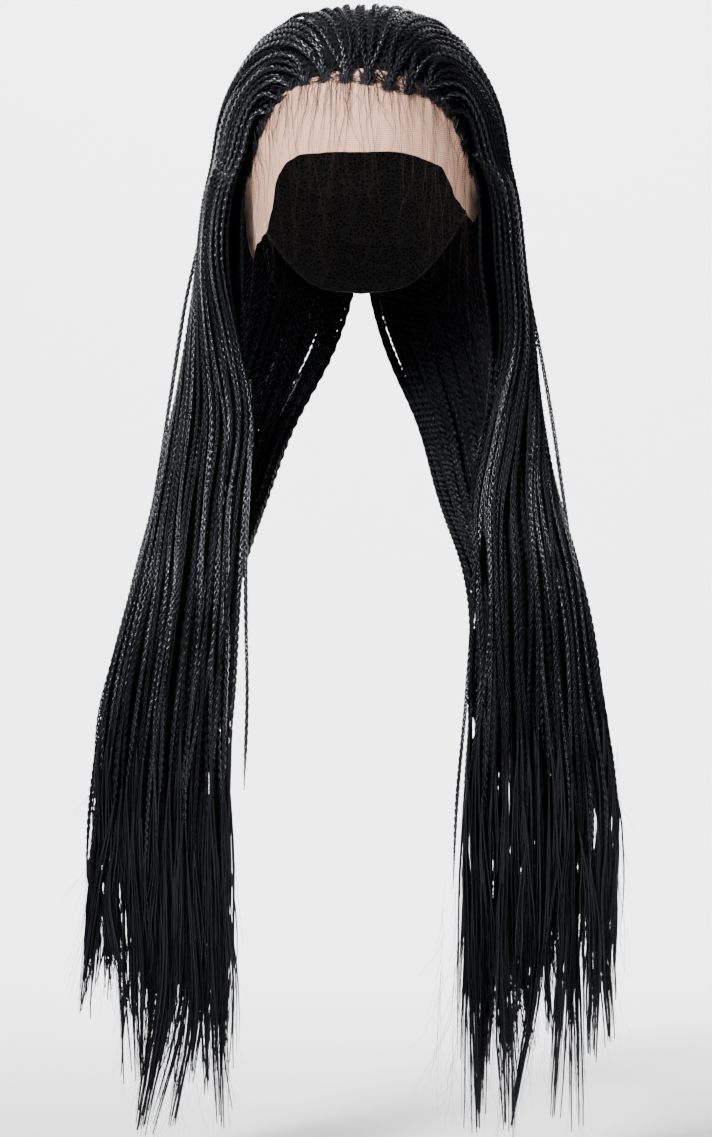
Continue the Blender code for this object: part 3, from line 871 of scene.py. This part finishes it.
def make_outer_plaits(side, groups, knots):
    """The plaits over the crown and down the falls; gives each path, and whether its loose end is full."""
    front_degs = ring_spots(RING_DEG[0] + 0.5, EAR_DEG, FRONT_PLAITS)
    hind_degs = ring_spots(EAR_DEG, RING_DEG[1] - 0.3, HIND_PLAITS)
    degs = np.concatenate((front_degs, hind_degs))
    starts = crown_starts(degs, LEAST_GAP)
    ends = []
    for index, deg in enumerate(degs):
        front = deg < EAR_DEG
        strands = groups["front" if front else "side" if deg < BACK_DEG else "back"]
        end_z = rng.uniform(*UNDONE_Z)
        points, outs = braid_path(side, deg, OUTER_LAYERS[index % 2], min(starts[index], 0.92), end_z, knots)
        strands.tone = int(rng.random() < DULL_SHARE[side])
        add_plait(strands, points, outs, width=BRAID_WIDTH * rng.uniform(0.92, 1.08), thick_start=0.30)
        ends.append((points, front))
    return ends


def make_under_braids(side, strands):
    """Simpler braids under the outer ones, and plaits by the face; gives the paths of those not covered."""
    ends = []
    for first, last, count, layer, start_share in UNDER_ROWS:
        covered = layer < 0
        for deg in ring_spots(first, last, count):
            end_z = rng.uniform(*(COVERED_END_Z if covered else UNDONE_Z))
            points, outs = braid_path(side, deg, layer, start_share, end_z)
            by_the_face = deg < first + 5 and first < EAR_DEG
            add_braid = add_plait if by_the_face else add_rope
            add_braid(strands, points, outs)
            if not covered:
                ends.append((points, False))
    return ends


def make_bridging_plaits(side, strands):
    """Plaits between the front fall and the one behind it; gives their paths."""
    ends = []
    strands.tone = 1
    for share in (np.arange(BRIDGING_PLAITS) + 0.5) / BRIDGING_PLAITS:
        deg = EAR_DEG + (share - 0.5) * 2
        points, outs = braid_path(side, deg, 0.6, 0.5, rng.uniform(*UNDONE_Z), bridge=share)
        add_plait(strands, points, outs)
        ends.append((points, False))
    return ends


def loose_end_spots(start, root, tip, outermost):
    """Where one loose end leaves the mass, and its tip: along a wisp, near it, or short of it."""
    kind = rng.random()
    if outermost and kind < OUTERMOST_FOLLOW_SHARE:
        kind = 0.0
    if kind < FOLLOW_SHARE:
        root = root + rng.normal(0, 1, 3) * (0.0010, 0.0012, 0.004)
        tip = tip + rng.normal(0, 1, 3) * (0.0008, 0.0008, 0.003)
    elif kind < FOLLOW_OR_NEAR_SHARE:
        tip = mix(root, tip, rng.uniform(0.3, 0.9)) + rng.normal(0, 0.0050, 3) * (1, 0.4, 0)
        root = root + rng.normal(0, 1, 3) * (0.0030, 0.0020, 0.006)
    else:
        tip = mix(root, tip, rng.uniform(-0.10, 0.35)) + rng.normal(0, 0.0024, 3)
        root = mix(start, tip, 0.6) + rng.normal(0, 0.0015, 3)
    root[2] = min(root[2], start[2] - 0.030)
    root[1] = mix(start[1], root[1], smooth_step(start[2] - root[2], 0.0, 0.12))
    root[0] = mix(start[0], root[0], smooth_step(start[2] - root[2], 0.0, 0.05))
    tip[2] = min(tip[2], root[2] - 0.020, start[2] - rng.uniform(0.075, 0.095))
    return root, tip


def make_loose_ends(side, ends):
    """Loose hair at the end of each braid, gathered to the wisps of its side."""
    wisps = wisps_of(side)
    roots = np.array([root[0] for root, _ in wisps])
    outermost = np.argsort(-np.abs(roots))[:OUTERMOST_WISPS]
    tails = Strands()
    for points, full in ends:
        start = points[-1]
        ahead = unit(points[-1] - points[-5])
        choice = np.argmin(np.abs(roots - start[0]) + rng.normal(0, 0.0035, len(roots)))
        root, tip = loose_end_spots(start, *wisps[choice], choice in outermost)
        add_tail(tails, start, ahead, root, tip, full)
    add_flyaways(tails, wisps, side)
    return tails


def make_side(side, hair, dull_hair, under_hair, loose_hair):
    """All braids of one side, with their loose ends and the tied roots at the hairline."""
    name = SIDE_NAMES[side]
    groups = {"front": Strands(), "side": Strands(), "back": Strands()}
    falls = [f"{name}_{kind}_braids" for kind in groups]
    under = Strands()
    knots = hairline_knots(side)
    ends = make_outer_plaits(side, groups, knots)
    ends += make_under_braids(side, under)
    ends += make_bridging_plaits(side, groups["side"])
    tails = make_loose_ends(side, ends)
    for (kind, strands), fall in zip(groups.items(), falls):
        piece = strands.build(f"{name}_{kind}_plaits", hair, dull_hair)
        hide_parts(fall, f"{name}_crown_braids")
    piece = under.build(f"{name}_under_plaits", under_hair)
    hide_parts(*falls)
    piece = tails.build(f"{name}_loose_ends", loose_hair)
    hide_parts(*falls)
    make_roots(side, knots, loose_hair)


def hairline_knots(side):
    """Points on the lace where the first braids are tied, from the centre to the ear."""
    azimuths, levels = np.array(KNOTS[side]).T
    return head_point(side * azimuths, levels, KNOT_HEIGHT)[0]


def lace_share(azimuth, z):
    """Where a level lies between the lace's tucked edge (0) and its free edge (1)."""
    top = cap_edge_z(azimuth) + LACE_TUCK
    return np.clip((top - z) / (top - lace_edge_z(azimuth)), 0, 1)


def lace_lift(share):
    """How far the lace lies off the head, from its tucked edge over the cap (0) to its free edge (1)."""
    return 0.0024 * (1 - smooth_step(share, 0.12, 0.50)) + 0.0008


def make_roots(side, knots, material):
    """Dark tufts that run from each knot up into its braids, and short hairs on the lace round it."""
    fuzz = Strands()
    share = np.linspace(0, 1, 5)[:, None]
    azimuths, levels = np.array(KNOTS[side]).T
    on_lace, outs = head_point(side * azimuths, levels, 0.0026)
    for azimuth, point, out, knot in zip(azimuths, on_lace, outs, knots):
        up = np.array((0, 0, 1.0)) - out * out[2]
        back = np.array((side * 0.2, 1.0, 0.35))
        up = unit(mix(unit(up), unit(back - out * np.dot(back, out)), smooth_step(azimuth, 30, 58)))
        up = unit(up - out * np.dot(up, out))
        aside = np.cross(up, out)
        for _ in range(TUFTS_AT_KNOT):
            turn = rng.normal(0, 0.42)
            way = up * math.cos(turn) + aside * math.sin(turn)
            reach = rng.uniform(0.008, 0.020)
            lock = knot - up * rng.uniform(-0.0010, 0.0032) + aside * rng.normal(0, 0.0015)
            lock = lock + way * reach * share
            lock += out * (0.0014 * np.sin(share * 3)) - out * rng.uniform(0.0002, 0.0014)
            add_hair(fuzz, lock, rng.uniform(0.0003, 0.0007), taper=0.35)
        for _ in range(HAIRS_AT_KNOT):
            turn = rng.uniform(-math.pi, math.pi)
            reach = rng.uniform(0.0015, 0.0095)
            way = aside * math.sin(turn) + up * math.cos(turn) * (1.2 if math.cos(turn) > 0 else 0.42)
            bend = np.cross(way, out) * rng.normal(0, 0.0010)
            lift = out * (0.0012 * (1 - share) + 0.0004)
            hair = point + way * reach * share + bend * np.sin(share * math.pi) + lift
            add_hair(fuzz, hair[::2], rng.uniform(0.00012, 0.00022), taper=0.35)
    piece = fuzz.build(f"{SIDE_NAMES[side]}_hairline_roots", material)
    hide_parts(f"{SIDE_NAMES[side]}_crown_braids")


def make_baby_hair(material):
    """Fine single hairs that fall from the hairline over the lace; the long ones hang free below it."""
    strands = Strands()
    for index in range(BABY_HAIRS):
        long = index < LONG_BABY_HAIRS
        azimuth = rng.uniform(-60, 60)
        top = cap_edge_z(azimuth)[0] + rng.uniform(-0.002, 0.005)
        length = rng.uniform(0.045, 0.125) if long else rng.uniform(0.008, 0.034)
        share = np.linspace(0, 1, 14 if long else 6)
        z = top - length * share
        drift = rng.normal(0, 7 if long else 4)
        turn = azimuth + drift * share + (2.4 if long else 1.2) * wobble(share, 3, 1.1) * share
        off = rng.uniform(0, 0.005 if long else 0.001)
        lift = lace_lift(lace_share(turn, z)) + 0.0006 + off * share
        points, _ = head_point(turn, np.maximum(z, WIDEST_Z), lift)
        points[:, 2] += np.minimum(z - WIDEST_Z, 0)
        points[:, 1] -= 0.004 * smooth_step(WIDEST_Z - z, 0.0, 0.06)
        add_hair(strands, points, rng.uniform(0.00010, 0.00015), taper=0.35)
    piece = strands.build("baby_hair", material)
    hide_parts("left_crown_braids", "right_crown_braids")


def make_strays(hair):
    """Single braids that hang apart from the mass."""
    for name, side, width, path in STRAYS:
        spots = np.array([image_point(*spot) for spot in path])
        keys = np.linspace(0, 1, len(spots))
        fine = np.linspace(0, 1, 80)
        points = np.stack([hermite(keys, spots[:, k], fine) for k in range(3)], -1)
        outs = np.tile((0.0, -1.0, 0.0), (len(points), 1))
        strands = Strands()
        add_plait(strands, points, outs, sides=4, width=width, thin_end=0.7)
        piece = strands.build(name, hair)
        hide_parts(f"{SIDE_NAMES[side]}_front_braids")


def make_lace():
    """The lace panel, from under the first braids to its free edge, on the brow and before the ears."""
    end_deg = LACE_EDGE[-1, 0]
    azimuths = np.linspace(-end_deg, end_deg, LACE_COLUMNS + 1)
    top = cap_edge_z(azimuths) + LACE_TUCK
    bottom = lace_edge_z(azimuths)
    rows = []
    for share in np.arange(LACE_ROWS + 1) / LACE_ROWS:
        ripple = 0.0005 * np.sin(azimuths * 0.9 + 3 * share) * smooth_step(share, 0.5, 1.0)
        points, _ = head_point(azimuths, mix(top, bottom, share), lace_lift(share) + ripple)
        rows.append(points)
    points = np.array(rows)
    width = LACE_COLUMNS + 1
    faces = []
    for row in range(LACE_ROWS):
        for corner in range(row * width, row * width + LACE_COLUMNS):
            faces.append((corner, corner + width, corner + width + 1, corner + 1))
    mesh = new_mesh("lace_panel", points.reshape(-1, 3).tolist(), faces)
    round_brow = np.radians(azimuths)[None, :] * LACE_ROUND_RADIUS + 0 * points[..., 2]
    spots = np.stack((round_brow, points[..., 2]), -1).reshape(-1, 2)
    corners = np.empty(len(mesh.loops), dtype=np.int32)
    mesh.loops.foreach_get("vertex_index", corners)
    mesh.uv_layers.new(name="UVMap").data.foreach_set("uv", spots[corners].astype(np.float32).ravel())
    mesh.materials.append(lace_material())
    piece = add_object("lace_panel", mesh)
    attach(piece, "root")
    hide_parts("lace_front")


def far_from_part(tree, position):
    """1 far in front of the part and to its sides, 0 by it and in all that the camera doesn't see itself."""
    parts = add_node(tree, "ShaderNodeSeparateXYZ", {"Vector": position})
    aside = add_math(tree, "ABSOLUTE", parts.outputs["X"])
    ahead = add_math(tree, "MULTIPLY", parts.outputs["Y"], -1.0)
    fade = add_range(tree, add_math(tree, "MAXIMUM", aside, ahead), FADE_FROM, FADE_TO, 0.0, 1.0)
    fade.interpolation_type = "SMOOTHSTEP"
    seen = add_node(tree, "ShaderNodeLightPath")
    return add_math(tree, "MULTIPLY", fade.outputs["Result"], seen.outputs["Is Camera Ray"])


def paper_material():
    """Pale matt paper, clear from behind, that fades into the world's tone away from the part."""
    material, tree, shader = new_material("studio_paper")
    shader.inputs["Base Color"].default_value = PAPER_COLOUR
    shader.inputs["Roughness"].default_value = 0.95
    face = add_node(tree, "ShaderNodeNewGeometry")
    clear = add_node(tree, "ShaderNodeBsdfTransparent")
    glow = add_node(tree, "ShaderNodeEmission", {"Strength": WORLD_SEEN})
    far = far_from_part(tree, face.outputs["Position"])
    faded = add_mix(tree, far, shader.outputs["BSDF"], glow.outputs["Emission"])
    one_sided = add_mix(tree, face.outputs["Backfacing"], faded, clear.outputs["BSDF"])
    feed(tree, tree.nodes["Material Output"].inputs["Surface"], one_sided)
    return material


def make_stage():
    """Pale floor that curves up into a wall behind the part."""
    profile = [(-FLOOR_HALF, FLOOR_Z), (WALL_START_Y, FLOOR_Z)]
    for step in range(1, BEND_STEPS + 1):
        turn = math.pi / 2 * step / BEND_STEPS
        profile.append((WALL_START_Y + WALL_BEND * math.sin(turn), FLOOR_Z + WALL_BEND * (1 - math.cos(turn))))
    profile.append((WALL_START_Y + WALL_BEND, FLOOR_Z + WALL_HEIGHT))
    vertices = [(x, y, z) for y, z in profile for x in (-FLOOR_HALF, FLOOR_HALF)]
    faces = [(2 * i, 2 * i + 1, 2 * i + 3, 2 * i + 2) for i in range(len(profile) - 1)]
    mesh = new_mesh("studio_floor", vertices, faces)
    mesh.materials.append(paper_material())
    add_object("studio_floor", mesh)


def add_light(name, place, target, size, watts):
    """A lamp at a place that points at the target and isn't seen itself."""
    light = bpy.data.lights.new(name, "AREA")
    light.shape = "RECTANGLE"
    light.size, light.size_y = size
    light.energy = watts
    lamp = add_object(name, light)
    lamp.location = place
    lamp.rotation_euler = (Vector(target) - Vector(place)).to_track_quat("-Z", "Y").to_euler()
    lamp.visible_camera = False


def make_light():
    """A world that is bright to the camera and dim to the part, and the lamps."""
    world = bpy.data.worlds.new("studio")
    bpy.context.scene.world = world
    world.use_nodes = True
    tree = world.node_tree
    background = tree.nodes["Background"]
    background.inputs["Color"].default_value = (1, 1, 1, 1)
    seen = add_node(tree, "ShaderNodeLightPath")
    strength = add_range(tree, seen.outputs["Is Camera Ray"], 0.0, 1.0, WORLD_LIGHT, WORLD_SEEN)
    feed(tree, background.inputs["Strength"], strength.outputs["Result"])
    for light in LIGHTS:
        add_light(*light)


def make_camera():
    """Level camera straight in front, as far as a portrait lens stands, with the photo's frame."""
    camera = bpy.data.cameras.new("camera")
    camera.sensor_width = 36.0
    camera.sensor_height = 36.0
    camera.sensor_fit = "AUTO"
    camera.lens = camera.sensor_width * CAMERA_DISTANCE / (PHOTO_SIZE[1] * PIXEL)
    camera.clip_end = 50
    view = add_object("camera", camera)
    view.location = (CAMERA_X, -CAMERA_DISTANCE, CAMERA_Z)
    view.rotation_euler = (math.pi / 2, 0, 0)
    bpy.context.scene.camera = view


make_camera()
make_light()
make_stage()
hair = hair_material("braid_fibre", streak=3.0, roughness=0.235, specular=0.50)
dull_hair = hair_material("dull_braid_fibre", streak=3.0, roughness=0.34, specular=0.14)
under_hair = hair_material("under_braid_fibre", streak=3.0, roughness=0.45, specular=0.15, plaited=True)
loose_hair = hair_material("loose_fibre", streak=2.0, roughness=0.36, specular=0.27)
brown_hair = hair_material("baby_fibre", streak=2.0, roughness=0.45, specular=0.3, tones=BABY_TONES)
for side in (1, -1):
    make_side(side, hair, dull_hair, under_hair, loose_hair)
make_strays(hair)
make_baby_hair(brown_hair)
make_lace()
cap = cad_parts["wig_cap"]
cap.data.materials.clear()
cap.data.materials.append(cap_material())
